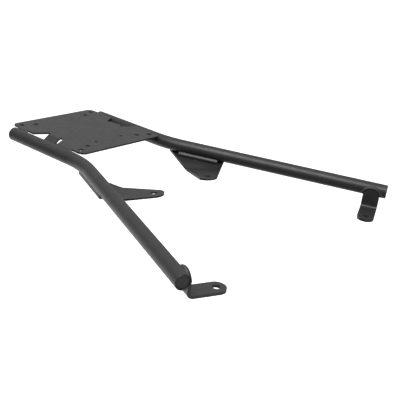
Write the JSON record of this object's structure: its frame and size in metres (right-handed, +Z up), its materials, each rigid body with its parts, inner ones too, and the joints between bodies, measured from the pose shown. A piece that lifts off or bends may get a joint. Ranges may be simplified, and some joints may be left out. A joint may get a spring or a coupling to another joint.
{
  "type": "motorcycle rear luggage rack",
  "caption": "Welded round-tube rear luggage rack for a motorcycle, with a drilled top plate, folded side flanges, side brackets and front bolt-on brackets.",
  "frame": {"origin": "middle of the case hole pattern, on the top plate's upper face", "axes": "+Y forwards towards the front brackets, +X to the right, +Z up out of the plate"},
  "size_m": [0.4636, 0.5014, 0.0473],
  "materials": {
    "plate_coat": "satin black powder coat on flat sheet",
    "rail_coat": "satin black powder coat on round tube",
    "bracket_coat": "satin black powder coat on bent strap and sheet",
    "weld_coat": "satin black powder coat over rippled weld beads",
    "cap_coat": "satin black powder coat on recessed end discs"
  },
  "bodies": {
    "root": {"top_plate": "plate_coat", "right_rail": "rail_coat", "left_rail": "rail_coat", "right_rear_cap": "cap_coat", "left_rear_cap": "cap_coat", "right_front_cap": "cap_coat", "left_front_cap": "cap_coat", "right_side_bracket": "bracket_coat", "left_side_bracket": "bracket_coat", "right_front_bracket": "bracket_coat", "left_front_bracket": "bracket_coat", "right_plate_rear_weld": "weld_coat", "left_plate_rear_weld": "weld_coat", "right_plate_front_weld": "weld_coat", "left_plate_front_weld": "weld_coat", "right_flange_weld": "weld_coat", "left_flange_weld": "weld_coat", "right_side_outer_weld": "weld_coat", "left_side_outer_weld": "weld_coat", "right_side_inner_weld": "weld_coat", "left_side_inner_weld": "weld_coat", "right_front_ring_weld": "weld_coat", "left_front_ring_weld": "weld_coat"}
  },
  "joints": []
}
